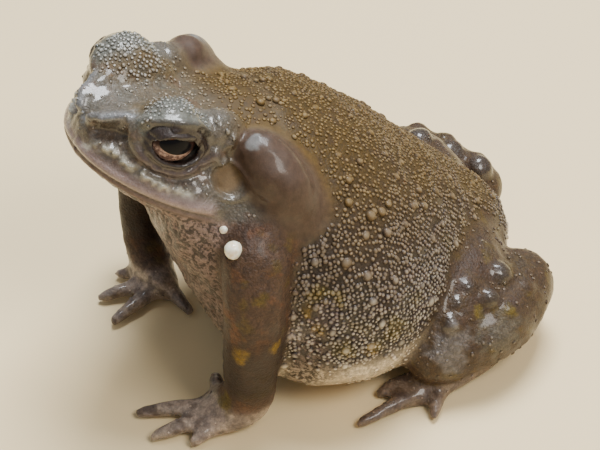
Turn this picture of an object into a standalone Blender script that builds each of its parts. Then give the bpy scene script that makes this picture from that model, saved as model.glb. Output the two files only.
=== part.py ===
"""A life-size Sonoran Desert toad, sitting upright, as a still museum model.

The toad faces -Y, its left side is +X and +Z is up. It rests on the floor at z = 0 on its belly, hands
and feet. Sizes are in millimetres here and are made metres as each mesh is built.
"""

import math

import bmesh
import bpy
import numpy as np
from mathutils import Matrix, Vector
from mathutils.bvhtree import BVHTree

MM = 0.001
GAP = 0.3
# A block's corners move out along their own slanted normals, so its faces need this much for the same gap.
BLOCK_GAP = GAP * math.sqrt(3)

# Trunk, seen from the side: the back's point and the belly's point of each section as (y, z), then the
# half width there. They run from the rump to the throat, and the belly dips under the floor to be cut flat.
TRUNK = (
    ((87, 19), (84, 9), 8),
    ((84, 29), (77, -1), 17),
    ((73, 40), (63, -3), 26),
    ((60, 52.6), (47, -3), 36),
    ((46, 65.6), (30, -3), 45),
    ((31, 77.4), (14, -2), 45),
    ((18, 83.8), (1, 7), 38),
    ((8, 86.6), (-7, 24), 31),
    ((-2, 87), (-12, 40), 27),
    ((-11, 87.4), (-17, 53), 24),
)
TRUNK_WIDEST = 0.42
BACK_SQUARENESS, BELLY_SQUARENESS = 2.02, 2.15
TRUNK_RINGS, TRUNK_SIDES = 28, 40
RUMP_TIP = (89, 14)
THROAT_TIP = (-19, 72)

# Head, in its own frame: forward, to its left and up from the point midway between the eyes. Each section
# gives how far forward it is, the flat crown's half width and height, the lips' half width, and the heights
# of the lips and of the throat.
HEAD_AT = (-1, -15, 88)
HEAD_YAW, HEAD_PITCH, HEAD_ROLL = 9, 24, 2
HEAD = (
    (-31, 18, 3.5, 26, -15.5, -27),
    (-23, 16, 4.2, 28.5, -15.5, -26.5),
    (-14, 13.5, 4.4, 28.5, -15.1, -25),
    (-5, 11.5, 4, 27, -14.5, -22.6),
    (3, 10.5, 3.4, 23.3, -13.8, -19.8),
    (9, 8.8, 2.2, 18.4, -13.3, -17.6),
    (13.2, 6.6, 0.4, 13.2, -12.9, -16),
    (15.7, 4.2, -2.2, 8.4, -12.3, -14.9),
    (16.7, 2.6, -4, 4.8, -11.6, -13.8),
)
HEAD_RINGS = 24
SNOUT_TIP = (17.3, -8)
# The line between the lips runs from behind the cheek to before the snout, seen from the side.
MOUTH_BACK, MOUTH_FRONT = (-30, -16.3), (30, -11.9)
MOUTH_GAP = 0.4
NECK_AT = -28
JAW_DEPTH = -36

EYE_AT = (1.5, 15.6, 2.2)
EYE_RADIUS = 6.9
# The eye looks this many degrees forward of sideways and up, through an opening this wide and tall.
EYE_FORWARD, EYE_UP = 12, -4
EYE_OPENING = (6.4, 4.4)
# The opening is cut by a long ball whose middle is this many eye radii out.
WINDOW_OUT, WINDOW_LENGTH = 2.2, 3
LID_AT = (1.1, 14.8, 3.2)
LID_RADII = (8, 8.5, 7.8)
LID_EDGE = 1.6
# The brow is the stiff edge of the upper lid, which overhangs the eye.
BROW = (
    (10.2, 11.8, 2.6),
    (8, 17, 5.6),
    (4.5, 19.6, 7),
    (0.5, 20.4, 7.2),
    (-3.5, 20, 6.2),
    (-7.5, 18.6, 4),
    (-10, 17, 1.6),
)
BROW_RADIUS = 1.5
# A broad swelling under each lid, so that the cheek comes up to the eye.
ORBIT_AT = (-1, 12, -1.5)
ORBIT_RADII = (12.5, 10.6, 8.5)
# The crest of bone from over the nostril, inside the eye and round behind it.
CREST = (
    (16, 4, -1.6),
    (11.5, 6.6, 1.6),
    (4, 8, 4.4),
    (-6, 10, 5.6),
    (-10.5, 15.5, 4.6),
    (-11.5, 21.5, -0.4),
)
CREST_RADIUS = 1.9
# A low swelling fills the temple, between the lid and the gland.
TEMPLE_AT = (-12, 15, 3.6)
TEMPLE_RADII = (6.5, 5.5, 5)
# The ears, left (1) and right (-1): the right one sits a little further forward, clear of its gland.
EAR_AT = {1: (-13.5, 25, -4.2), -1: (-11.5, 23, -4.6)}
EAR_RADIUS = 3.9
EAR_HEIGHT = 4.3
EAR_DEPTH = 3.4
NOSTRIL_AT = (16, 6, -1.6)
NOSTRIL_RADII = (1.6, 0.8, 1.1)
# White warts behind the corner of the mouth: how far forward and up in the head's frame, and the radius.
WARTS = {
    1: (("mouth_wart", (-15.5, -19), 2.3), ("small_wart", (-15, -17.1), 1.15)),
    -1: (("mouth_wart", (-15.5, -19), 2.3), ("small_wart", (-13.8, -16.2), 1.15)),
}
WART_SINK = 0.35

# Parotoid glands, from behind each eye down over the shoulder: points along each and its radius there. The
# shoulders turn a little with the head, so the right gland (-1) lies further forward, and a little higher.
GLANDS = {
    1: (((20.4, 9, 81.5), 6.4), ((24.9, 12, 75.5), 7.7), ((27.4, 14.4, 67.8), 7.2)),
    -1: (((-21.6, 2.3, 84.5), 6.4), ((-26.5, 4.5, 78.5), 7.5), ((-30, 7, 71), 6.8)),
}
GLAND_EDGE = 0.9

# Fore legs: nearly upright columns, each with a broad hand of four fingers turned a little inward. A limb's
# station is a point, the radius there and, where it is flattened, its height over its width.
ARM_LEFT = (
    ((22, 9, 62), 9),
    ((31, 3, 58), 9.2),
    ((35.5, 0.5, 47), 8.4),
    ((36.5, -0.5, 36), 8.2),
    ((35.5, -1.5, 26), 7.5),
    ((34, -1.5, 15), 7),
    ((32.5, -3, 8), 7.2),
    ((30.5, -8.5, 4.6), 7.9, 0.6),
)
ARM_RIGHT = (
    ((-23, 8, 60), 9),
    ((-32, -1, 54), 9.2),
    ((-37, -6, 44), 8),
    ((-38.5, -9.5, 33), 6.9),
    ((-37.8, -11, 23), 5.8),
    ((-35, -11.6, 14), 5.6),
    ((-31, -10.6, 8), 6.4),
    ((-26, -9.4, 4.6), 7.8, 0.6),
)
# Each finger and toe runs from its root to its tip.
FINGERS_LEFT = (
    ((25, -8, 3), (15.5, -6, 2)),
    ((26.5, -13, 3), (21.5, -30, 2)),
    ((31, -14, 3), (31.5, -29, 2)),
    ((34, -11, 3), (37.5, -19.5, 2)),
)
FINGERS_RIGHT = (
    ((-22, -8, 3), (-11.5, -5, 2)),
    ((-22.5, -12, 3), (-15.5, -27, 2)),
    ((-26, -14, 3), (-26.5, -27.5, 2)),
    ((-29.5, -12, 3), (-34.5, -20, 2)),
)
FINGER_RADIUS = 2.3
WRIST_HEIGHT = 9.5
ELBOW_HEIGHT = 35
# A fore leg parts from the trunk in a tube this much wider, and a hand in the space beside and before the
# chest.
ARM_SLEEVE = 1.2
HAND_ROOMS = (((25.5, -60, -5), (60, 6.5, WRIST_HEIGHT)), ((5, -60, -5), (30, -3, WRIST_HEIGHT)))

# Hind legs, folded: the thigh against the flank, the shank over the tarsus and the long webbed foot.
THIGH_LEFT = (((12, 70, 22), 11), ((24, 65, 24), 11.5), ((34, 57, 20), 10.5), ((39, 50, 13), 8.5))
THIGH_RIGHT = (((-14, 72, 24), 11), ((-26, 68, 24), 11.5), ((-38, 60, 17), 9.5), ((-43, 55, 13), 8))
SLEEVE = 2.6
SHANK_LEFT = (((40.5, 53, 11.5), 7), ((38, 62, 15), 10), ((34, 71.5, 16.5), 11), ((26, 80.5, 17), 10.5))
SHANK_RIGHT = (((-43, 58, 12), 8.4), ((-40, 67, 14), 10), ((-33, 78, 14.5), 10.6), ((-21, 88, 13), 8.6))
TARSUS_LEFT = (
    ((23, 84, 7), 6.2),
    ((30, 77, 6), 5.6),
    ((35.5, 67.5, 5), 5),
    ((38.5, 59, 4.5), 5.5, 0.75),
    ((40, 51, 3.5), 6, 0.5),
)
TARSUS_RIGHT = (
    ((-23, 87, 7), 6.2),
    ((-31, 81, 6), 5.6),
    ((-37.5, 72, 5), 5),
    ((-42, 63, 4.5), 5.5, 0.75),
    ((-43.5, 56, 3.5), 6, 0.5),
)
TOES_LEFT = (
    ((36, 51, 2.6), (37, 44, 2)),
    ((37.5, 48, 2.6), (36, 38, 2)),
    ((39.5, 46, 2.6), (38, 34, 2)),
    ((42, 47, 2.6), (46.7, 25, 2)),
    ((43.5, 50, 2.6), (51, 45, 2)),
)
TOES_RIGHT = (
    ((-39.5, 55, 2.6), (-39, 48, 2)),
    ((-41, 52, 2.6), (-38.5, 42, 2)),
    ((-43, 50, 2.6), (-41.5, 37, 2)),
    ((-45.5, 51, 2.6), (-50.5, 29, 2)),
    ((-47, 54, 2.6), (-54.5, 49, 2)),
)
TOE_RADIUS = 2.2
# A digit's radius at its root and tip as a share of that in its middle, and how high its middle arches.
DIGIT_ROOT, DIGIT_TIP, DIGIT_ARCH = 1.15, 0.78, 0.6
DIGIT_SUNK = 3
# The web reaches this share of each toe from its root, both ways, between these heights.
WEB_REACH = 0.42
WEB_HEIGHTS = (0, 1.9)
# Large glands of the hind legs and warts of the thigh: the middle of each and its radii.
LEG_GLANDS_LEFT = (
    ((29.5, 73, 27), (4.6, 4.2, 3.6)),
    ((36.5, 66.5, 25.6), (3.4, 3.4, 3.4)),
    ((40.5, 70.5, 23.5), (3.2, 3, 3.4)),
    ((35.5, 77.5, 24.5), (3, 3, 3)),
)
LEG_GLANDS_RIGHT = (
    ((-39.5, 77, 22.5), (4.6, 4.2, 3.8)),
    ((-31.5, 82.5, 23.4), (4.4, 4, 3.8)),
    ((-22.5, 89, 20.5), (4.4, 4.2, 3.6)),
    ((-44, 70, 20.5), (3.2, 3.2, 3.2)),
)
THIGH_WARTS_LEFT = (((40.5, 53.5, 24.5), (2.4, 2.4, 2.4)), ((33.5, 61.5, 31.5), (2, 2, 2)))

# Flesh grows together on a grid of this grain, with this many rounds of easing, and is then thinned out.
CORE_GRAIN, CORE_ROUNDS, CORE_TRIANGLES = 0.9, 8, 4500
SHANK_GRAIN, SHANK_ROUNDS, SHANK_TRIANGLES = 0.8, 4, 720
FOOT_GRAIN, FOOT_ROUNDS, FOOT_TRIANGLES = 0.9, 6, 640

# Farther than any part of the toad reaches.
FAR = 200
# A cut's result is taken as sound where its volume lies within this share of what is possible.
SOUND = 0.02


def mm(*xyz):
    return Vector(xyz) * MM


def material(name, colour, roughness):
    made = bpy.data.materials.new(name)
    made.use_nodes = True
    shader = made.node_tree.nodes["Principled BSDF"]
    shader.inputs["Base Color"].default_value = (*colour, 1)
    shader.inputs["Roughness"].default_value = roughness
    return made


def object_from(work, name):
    """A new object that holds this bmesh."""
    made = bpy.data.objects.new(name, bpy.data.meshes.new(name))
    bpy.context.scene.collection.objects.link(made)
    work.to_mesh(made.data)
    work.free()
    return made


def curve_through(rows, count):
    """Count rows along a smooth (Catmull-Rom) curve through these rows of numbers."""
    rows = np.array(rows, float)
    padded = np.vstack([2 * rows[0] - rows[1], rows, 2 * rows[-1] - rows[-2]])
    found = []
    for t in np.linspace(0, len(rows) - 1, count):
        i = min(int(t), len(rows) - 2)
        u = t - i
        a, b, c, d = padded[i : i + 4]
        bend = (c - a) * u + (2 * a - 5 * b + 4 * c - d) * u**2 + (3 * b - a - 3 * c + d) * u**3
        found.append(b + bend / 2)
    return np.array(found)


def loft(name, rings, start=None, end=None):
    """A closed skin over rings of equal count, its ends drawn to a point, if not given the ring's middle."""
    skin = bmesh.new()
    rows = [[skin.verts.new(mm(*point)) for point in ring] for ring in rings]
    tips = []
    for tip, ring in ((start, rings[0]), (end, rings[-1])):
        tips.append(skin.verts.new(mm(*(np.mean(ring, axis=0) if tip is None else tip))))
    sides = len(rows[0])
    for k in range(sides):
        n = (k + 1) % sides
        for low, high in zip(rows, rows[1:]):
            skin.faces.new((low[k], low[n], high[n], high[k]))
        skin.faces.new((rows[0][k], tips[0], rows[0][n]))
        skin.faces.new((rows[-1][n], tips[1], rows[-1][k]))
    bmesh.ops.recalc_face_normals(skin, faces=skin.faces)
    return object_from(skin, name)


def superellipse(angle, power):
    """A point on a unit superellipse, rounder at 2 and squarer above it."""
    c, s = math.cos(angle), math.sin(angle)
    return math.copysign(abs(c) ** (2 / power), c), math.copysign(abs(s) ** (2 / power), s)


def ellipsoid(name, centre, radii, turn=None, sides=24):
    ball = bmesh.new()
    bmesh.ops.create_uvsphere(ball, u_segments=sides, v_segments=sides * 2 // 3, radius=1)
    size = Matrix.Diagonal((*(r * MM for r in radii), 1))
    ball.transform(Matrix.Translation(mm(*centre)) @ (turn or Matrix.Identity(4)) @ size)
    return object_from(ball, name)


def block(name, low, high, frame=None):
    """A box between two corners, in millimetres of the given frame."""
    box = bmesh.new()
    bmesh.ops.create_cube(box, size=1)
    low, high = Vector(low), Vector(high)
    size = Matrix.Diagonal((*((high - low) * MM), 1))
    box.transform((frame or Matrix.Identity(4)) @ Matrix.Translation((low + high) / 2 * MM) @ size)
    return object_from(box, name)


def limb(name, stations, sides=14, steps=14, across=None):
    """A round-ended tube through stations of a point, a radius and how flat it is there (1 if left out).

    Across is a direction that the tube's flat side keeps to; without it the flat side lies level.
    """
    rows = curve_through([(*at, radius, *(more or (1,))) for at, radius, *more in stations], steps)
    path = rows[:, :3]
    rings = []

    def ring(centre, along, radius, flat):
        side = along.cross(Vector((0, 0, 1)))
        if across:
            side = Vector(across) - along * along.dot(Vector(across))
        side.normalize()
        over = side.cross(along).normalized()
        turns = [math.tau * k / sides for k in range(sides)]
        return [centre + (side * math.cos(t) + over * math.sin(t) * flat) * radius for t in turns]

    for i, (*at, radius, flat) in enumerate(rows):
        along = Vector(path[min(i + 1, len(path) - 1)] - path[max(i - 1, 0)]).normalized()
        outward = -1 if i == 0 else 1
        dome = []
        for a in (0.45, 0.9, 1.3):
            out = Vector(at) + along * outward * radius * math.sin(a)
            dome.append(ring(out, along, radius * math.cos(a), flat))
        if i == 0:
            rings += dome[::-1]
        rings.append(ring(Vector(at), along, radius, flat))
        if i == len(rows) - 1:
            rings += dome
    return loft(name, rings)


def digits(name, pairs, radius):
    """Slim bent tubes from each root to its tip."""
    made = []
    for root, tip in pairs:
        root, tip = Vector(root), Vector(tip)
        start = root - (tip - root).normalized() * DIGIT_SUNK
        middle = (root + tip) / 2 + Vector((0, 0, DIGIT_ARCH))
        stations = ((start, radius * DIGIT_ROOT), (middle, radius), (tip, radius * DIGIT_TIP))
        made.append(limb(name, stations, 10, 8))
    return made


def web(toes):
    """The thin skin between the roots of the toes."""
    work = bmesh.new()
    for root, tip in toes:
        for reach in (-WEB_REACH, WEB_REACH):
            at = Vector(root).lerp(Vector(tip), reach)
            for height in WEB_HEIGHTS:
                work.verts.new(mm(at.x, at.y, height))
    hull = bmesh.ops.convex_hull(work, input=work.verts)
    spare = list({*hull["geom_interior"], *hull["geom_unused"]})
    bmesh.ops.delete(work, geom=spare, context="VERTS")
    bmesh.ops.recalc_face_normals(work, faces=work.faces)
    return object_from(work, "web")


def swellings(rows):
    return [ellipsoid("swelling", at, radii, sides=14) for at, radii in rows]


def drop(*objects):
    for made in objects:
        bpy.data.objects.remove(made)


def apply_modifiers(made):
    """The object with its modifiers made part of its mesh."""
    graph = bpy.context.evaluated_depsgraph_get()
    mesh = bpy.data.meshes.new_from_object(made.evaluated_get(graph))
    made.modifiers.clear()
    made.data = mesh
    return made


def fuse(name, pieces, grain, rounds):
    """The pieces grown together: their union on a grid of this grain, with the seams smoothed away."""
    whole = bmesh.new()
    for piece in pieces:
        whole.from_mesh(piece.data)
    drop(*pieces)
    made = object_from(whole, name)
    grown = made.modifiers.new("grown", "REMESH")
    grown.mode = "VOXEL"
    grown.voxel_size = grain * MM
    eased = made.modifiers.new("eased", "SMOOTH")
    eased.factor = 0.5
    eased.iterations = rounds
    return apply_modifiers(made)


def thin_out(made, triangles):
    """The mesh with about this many triangles."""
    tris = made.modifiers.new("tris", "TRIANGULATE")
    tris.quad_method = "BEAUTY"
    apply_modifiers(made)
    fewer = made.modifiers.new("fewer", "DECIMATE")
    fewer.ratio = min(1, triangles / len(made.data.polygons))
    fewer.use_collapse_triangulate = True
    return apply_modifiers(made)


def copy_of(made, name, grown=0):
    """A copy, with its surface moved out by so many millimetres."""
    other = bpy.data.objects.new(name, made.data.copy())
    bpy.context.scene.collection.objects.link(other)
    if grown:
        wider = other.modifiers.new("wider", "DISPLACE")
        wider.strength = grown * MM
        wider.mid_level = 0
        apply_modifiers(other)
    return other


def largest_only(made):
    """The mesh without the loose scraps that a cut can leave."""
    work = bmesh.new()
    work.from_mesh(made.data)
    unseen = set(work.verts)
    groups = []
    while unseen:
        reached = [unseen.pop()]
        for vert in reached:
            for edge in vert.link_edges:
                other = edge.other_vert(vert)
                if other in unseen:
                    unseen.remove(other)
                    reached.append(other)
        groups.append(reached)
    groups.sort(key=len)
    bmesh.ops.delete(work, geom=[v for g in groups[:-1] for v in g], context="VERTS")
    work.to_mesh(made.data)
    work.free()
    return made


def volume(mesh):
    """The volume inside a mesh, or nothing where the mesh is open."""
    work = bmesh.new()
    work.from_mesh(mesh)
    whole = work.calc_volume(signed=True) if all(edge.is_manifold for edge in work.edges) else 0
    work.free()
    return whole


def cut(made, cutter, operation="DIFFERENCE"):
    """Takes the cutter away, or keeps what lies inside it; a result that cannot be right is made again."""
    before = made.data
    whole, bitten = volume(before), volume(cutter.data)
    least, most = {
        "DIFFERENCE": (whole - bitten, whole),
        "INTERSECT": (0, min(whole, bitten)),
        "UNION": (max(whole, bitten), whole + bitten),
    }[operation]
    for solver in ("EXACT", "MANIFOLD"):
        made.data = before
        bite = made.modifiers.new("cut", "BOOLEAN")
        bite.operation = operation
        bite.object = cutter
        bite.solver = solver
        largest_only(apply_modifiers(made))
        if max(least, 0) * (1 - SOUND) < volume(made.data) <= most * (1 + SOUND):
            break
    return made


def clear_of(made, *others):
    """Cuts the object back from its neighbours, so that a thin gap is left."""
    for other in others:
        wider = copy_of(other, "wider", GAP)
        cut(made, wider)
        drop(wider)
    return made


def split(made, name, region, gap=GAP):
    """Parts off what lies in the region as a new object, with a thin gap round it, and drops the region."""
    region.modifiers.new("tris", "TRIANGULATE")
    apply_modifiers(region)
    part = copy_of(made, name)
    cut(part, region, "INTERSECT")
    wider = copy_of(region, "wider", gap)
    cut(made, wider)
    drop(region, wider)
    return part


def on_side(at, side):
    """A point of the left side (1) in the head's frame, or its mirror image on the right (-1)."""
    forward, left, up = at
    return forward, left * side, up


def room_on(side, low, high):
    """A block given by its corners on the left side (1), or its mirror image on the right (-1)."""
    near, far = sorted((low[0] * side, high[0] * side))
    return block("room", (near, *low[1:]), (far, *high[1:]))


def skin_at(made, start, toward):
    """Where a line from outside first meets the mesh."""
    tree = BVHTree.FromObject(made, bpy.context.evaluated_depsgraph_get())
    return tree.ray_cast(mm(*start), Vector(toward))[0] / MM


for leftover in list(bpy.data.objects):
    bpy.data.objects.remove(leftover)

SIDES = ((1, "left"), (-1, "right"))

# Trunk: sections set square to the body's length, wide and low like a full sack.
rings = []
for back_y, back_z, belly_y, belly_z, half in curve_through([(*b, *u, h) for b, u, h in TRUNK], TRUNK_RINGS):
    ring = []
    for k in range(TRUNK_SIDES):
        power = BACK_SQUARENESS if k < TRUNK_SIDES / 2 else BELLY_SQUARENESS
        across, up = superellipse(math.tau * k / TRUNK_SIDES, power)
        share = TRUNK_WIDEST + up * (1 - TRUNK_WIDEST if up > 0 else TRUNK_WIDEST)
        y = belly_y + (back_y - belly_y) * share
        ring.append((half * across, y, belly_z + (back_z - belly_z) * share))
    rings.append(ring)
trunk = loft("trunk", rings, (0, *RUMP_TIP), (0, *THROAT_TIP))

# Head: a flat crown with canthal edges, cheeks that slope out to the lips, and a shallow throat.
head_turn = Matrix.Rotation(math.radians(HEAD_YAW), 4, "Z")
head_turn @= Matrix.Rotation(math.radians(-HEAD_PITCH), 4, "X")
head_turn @= Matrix.Rotation(math.radians(HEAD_ROLL), 4, "Y")
head_frame = Matrix.Translation(mm(*HEAD_AT)) @ head_turn


def in_head(forward, left, up):
    """A point of the head's frame, in millimetres of the toad's."""
    return (head_frame @ mm(left, -forward, up)) / MM


rings = []
for forward, crown, top, lips, mouth, throat in curve_through(HEAD, HEAD_RINGS):
    outline = [
        (0, top),
        (crown * 0.6, top),
        (crown, top - 0.8),
        ((crown + lips) * 0.52, top * 0.55 + mouth * 0.45),
        (lips * 0.985, mouth + 3.2),
        (lips, mouth + 0.6),
        (lips * 0.97, mouth + (throat - mouth) * 0.2),
        (lips * 0.86, mouth + (throat - mouth) * 0.48),
        (lips * 0.55, throat + 0.8),
        (0, throat),
    ]
    outline += [(-across, up) for across, up in outline[-2:0:-1]]
    rings.append([in_head(forward, across, up) for across, up in outline])
skull = loft("skull", rings, None, in_head(SNOUT_TIP[0], 0, SNOUT_TIP[1]))


def gland_on(side, edge=0):
    return limb("gland", [(at, radius + edge) for at, radius in GLANDS[side]], steps=8)


def ball_in_head(name, at, radii, side, sides=24):
    """A ball of the head, its radii given forward, to the left and up."""
    forward, left, up = radii
    return ellipsoid(name, in_head(*on_side(at, side)), (left, forward, up), head_turn, sides)


def ridge_in_head(name, line, radius, side):
    return limb(name, [(in_head(*on_side(at, side)), radius) for at in line], 10, 16)


# Lid domes with their brows over the eyes, crests from the nostril round behind each eye, parotoid glands.
lumps = swellings(THIGH_WARTS_LEFT)
for side, word in SIDES:
    lumps.append(ball_in_head("lid", LID_AT, LID_RADII, side))
    lumps.append(ridge_in_head("brow", BROW, BROW_RADIUS, side))
    lumps.append(ball_in_head("orbit", ORBIT_AT, ORBIT_RADII, side))
    lumps.append(ridge_in_head("crest", CREST, CREST_RADIUS, side))
    lumps.append(ball_in_head("temple", TEMPLE_AT, TEMPLE_RADII, side))
    lumps.append(gland_on(side))

# The flesh grows together in five bodies, which stand on the floor and keep clear of each other.
arms = [limb("arm", stations, across=(1, 0, 0)) for stations in (ARM_LEFT, ARM_RIGHT)]
fingers = digits("finger", FINGERS_LEFT + FINGERS_RIGHT, FINGER_RADIUS)
thighs = [limb("thigh", THIGH_LEFT), limb("thigh", THIGH_RIGHT)]
core = fuse("core", [trunk, skull, *lumps, *arms, *fingers, *thighs], CORE_GRAIN, CORE_ROUNDS)
thin_out(core, CORE_TRIANGLES)
bodies = [core]
for word, shank_line, glands, tarsus_line, toes in (
    ("left", SHANK_LEFT, LEG_GLANDS_LEFT, TARSUS_LEFT, TOES_LEFT),
    ("right", SHANK_RIGHT, LEG_GLANDS_RIGHT, TARSUS_RIGHT, TOES_RIGHT),
):
    shank = fuse("shank_" + word, [limb("shank", shank_line), *swellings(glands)], SHANK_GRAIN, SHANK_ROUNDS)
    pieces = [limb("tarsus", tarsus_line), web(toes), *digits("toe", toes, TOE_RADIUS)]
    foot = fuse("foot_" + word, pieces, FOOT_GRAIN, FOOT_ROUNDS)
    bodies += [thin_out(shank, SHANK_TRIANGLES), thin_out(foot, FOOT_TRIANGLES)]
floor = block("floor", (-FAR, -FAR, -FAR), (FAR, FAR, 0))
for made in bodies:
    cut(made, floor)
drop(floor)
for shank, foot in (bodies[1:3], bodies[3:5]):
    clear_of(foot, shank)
    clear_of(core, shank, foot)

# Glands and lids part from the head and trunk before those part from each other.
for side, word in SIDES:
    split(core, "parotoid_" + word, gland_on(side, GLAND_EDGE))
    lid_room = ball_in_head("lid_room", LID_AT, [radius + LID_EDGE for radius in LID_RADII], side, 14)
    lids = split(core, "eyelids_" + word, lid_room)
    eye = ball_in_head("eye_" + word, EYE_AT, (EYE_RADIUS,) * 3, side, 16)
    gaze = Matrix.Rotation(math.radians(90 - EYE_FORWARD) * side, 4, "Z")
    gaze @= Matrix.Rotation(math.radians(EYE_UP), 4, "X")
    eye_frame = Matrix.Translation(mm(*in_head(*on_side(EYE_AT, side)))) @ head_turn @ gaze
    window_radii = (EYE_OPENING[0], WINDOW_LENGTH * EYE_RADIUS, EYE_OPENING[1])
    window = ellipsoid("window", (0, 0, 0), window_radii, sides=16)
    window.data.transform(eye_frame @ Matrix.Translation(mm(0, -WINDOW_OUT * EYE_RADIUS, 0)))
    cut(lids, window)
    drop(window)
    clear_of(lids, eye)

# Ears are thin discs set in the side of the head. The nostrils are pits, and the white warts sit in sockets.
for side, word in SIDES:
    ear_radii = (EAR_RADIUS, EAR_DEPTH, EAR_HEIGHT)
    split(core, "tympanum_" + word, ball_in_head("disc", EAR_AT[side], ear_radii, side, 14))
    pit = ball_in_head("pit", NOSTRIL_AT, NOSTRIL_RADII, side, 8)
    cut(core, pit)
    drop(pit)
    inward = in_head(0, 0, 0) - in_head(0, side, 0)
    for name, (forward, up), radius in WARTS[side]:
        at = skin_at(core, in_head(forward, FAR * side, up), inward) + inward * radius * WART_SINK
        wart = ellipsoid(f"{name}_{word}", at, (radius,) * 3, head_turn, 10)
        clear_of(core, wart)

# Thighs and fore legs part from the trunk by wider tubes round them, and fore legs again at elbow and wrist.
for word, thigh in (("left", THIGH_LEFT), ("right", THIGH_RIGHT)):
    split(core, "thigh_" + word, limb("sleeve", [(at, radius + SLEEVE) for at, radius in thigh], 9, 5))
for side, word, arm_line in ((1, "left", ARM_LEFT), (-1, "right", ARM_RIGHT)):
    beside, before = [room_on(side, low, high) for low, high in HAND_ROOMS]
    cut(beside, before, "UNION")
    drop(before)
    split(core, "hand_" + word, beside, BLOCK_GAP)
    wider = [(at, radius + ARM_SLEEVE) for at, radius in arm_line[1:-1]]
    sleeve = limb("sleeve", wider, 12, 10, across=(1, 0, 0))
    arm = split(core, "upper_arm_" + word, sleeve)
    split(arm, "forearm_" + word, block("low", (-FAR, -FAR, -FAR), (FAR, FAR, ELBOW_HEIGHT)), BLOCK_GAP)

# Lower jaw with the throat, under the line of the mouth, and the rest of the head, back to the neck.
slope = math.atan2(MOUTH_FRONT[1] - MOUTH_BACK[1], MOUTH_FRONT[0] - MOUTH_BACK[0])
mouth = head_frame @ Matrix.Translation(mm(0, -MOUTH_BACK[0], MOUTH_BACK[1]))
mouth @= Matrix.Rotation(-slope, 4, "X")
neck = MOUTH_BACK[0] - NECK_AT
below = block("below", (-FAR, -FAR, JAW_DEPTH - MOUTH_BACK[1]), (FAR, neck, 0), mouth)
above = block("above", (-FAR, -FAR, -1), (FAR, neck, FAR), mouth)
split(core, "lower_jaw", below, MOUTH_GAP * math.sqrt(3))
split(core, "head", above, BLOCK_GAP)
core.name = "torso"

# Colours of the wet skin, the eyes and the white warts.
FINISHES = {
    "torso": ("trunk_skin", (0.115, 0.09, 0.05), 0.42),
    "head": ("head_skin", (0.105, 0.095, 0.085), 0.35),
    "lower_jaw": ("throat_skin", (0.2, 0.14, 0.11), 0.45),
    "eyelids": ("lid_skin", (0.11, 0.1, 0.09), 0.32),
    "parotoid": ("gland_skin", (0.13, 0.105, 0.08), 0.35),
    "tympanum": ("tympanum_skin", (0.24, 0.18, 0.11), 0.45),
    "mouth_wart": ("white_wart", (0.72, 0.69, 0.58), 0.3),
    "small_wart": ("white_wart", (0.72, 0.69, 0.58), 0.3),
    "eye": ("eye_glass", (0.05, 0.035, 0.025), 0.08),
    "upper_arm": ("fore_leg_skin", (0.13, 0.085, 0.04), 0.4),
    "forearm": ("fore_leg_skin", (0.13, 0.085, 0.04), 0.4),
    "hand": ("hand_skin", (0.14, 0.115, 0.11), 0.4),
    "thigh": ("hind_leg_skin", (0.12, 0.1, 0.055), 0.35),
    "shank": ("hind_leg_skin", (0.12, 0.1, 0.055), 0.35),
    "foot": ("foot_skin", (0.12, 0.095, 0.09), 0.4),
}
parts = list(bpy.data.objects)
materials = {}
for made in parts:
    name, colour, roughness = FINISHES[made.name.removesuffix("_left").removesuffix("_right")]
    if name not in materials:
        materials[name] = material(name, colour, roughness)
    made.data.materials.clear()
    made.data.materials.append(materials[name])
    made.data.name = made.name
    made.data.shade_smooth()

# The origin is on the floor at the middle of the whole toad's box.
corners = np.array([vert.co for made in parts for vert in made.data.vertices])
middle = (corners.min(0) + corners.max(0)) / 2
for made in parts:
    made.data.transform(Matrix.Translation((-middle[0], -middle[1], 0)))
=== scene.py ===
"""A life-size Sonoran Desert toad: one wet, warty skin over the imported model, with its eyes and warts."""

import math

import bmesh
import bpy
import numpy as np
from mathutils import Matrix, Vector, noise
from mathutils.bvhtree import BVHTree


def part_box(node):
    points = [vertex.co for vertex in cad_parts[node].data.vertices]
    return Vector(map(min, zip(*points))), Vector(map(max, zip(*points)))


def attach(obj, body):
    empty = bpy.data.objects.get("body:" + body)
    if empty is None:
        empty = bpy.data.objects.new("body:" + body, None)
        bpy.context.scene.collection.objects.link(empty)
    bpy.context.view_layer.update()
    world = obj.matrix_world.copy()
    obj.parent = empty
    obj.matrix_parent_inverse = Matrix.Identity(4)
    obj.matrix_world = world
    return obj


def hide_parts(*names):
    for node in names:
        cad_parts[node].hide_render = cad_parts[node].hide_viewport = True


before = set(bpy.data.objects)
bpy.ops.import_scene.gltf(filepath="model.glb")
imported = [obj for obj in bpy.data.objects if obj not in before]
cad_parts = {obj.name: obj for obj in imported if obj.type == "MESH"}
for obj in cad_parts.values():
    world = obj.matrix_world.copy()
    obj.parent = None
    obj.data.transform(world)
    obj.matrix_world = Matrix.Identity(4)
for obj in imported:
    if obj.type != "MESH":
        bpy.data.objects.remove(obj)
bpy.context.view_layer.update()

# Skin.
# One unbroken hide over trunk, head and limbs. It is grown over
# copies of all the imported model's flesh, its gaps closed, and then folded and creased as on the animal.
MM = 0.001
FLESH = [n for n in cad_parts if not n.startswith(("eye_", "mouth_wart", "small_wart"))]
SKIN_GROWN = 0.26 * MM
SKIN_GRAIN = 1.17 * MM
SKIN_EASED = 6


def only_mesh(name, mesh):
    made = bpy.data.objects.new(name, mesh)
    bpy.context.scene.collection.objects.link(made)
    return made


def mesh_of(shape, name):
    """The edited shape as a mesh, with the edit closed."""
    mesh = bpy.data.meshes.new(name)
    shape.to_mesh(mesh)
    shape.free()
    return mesh


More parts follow.
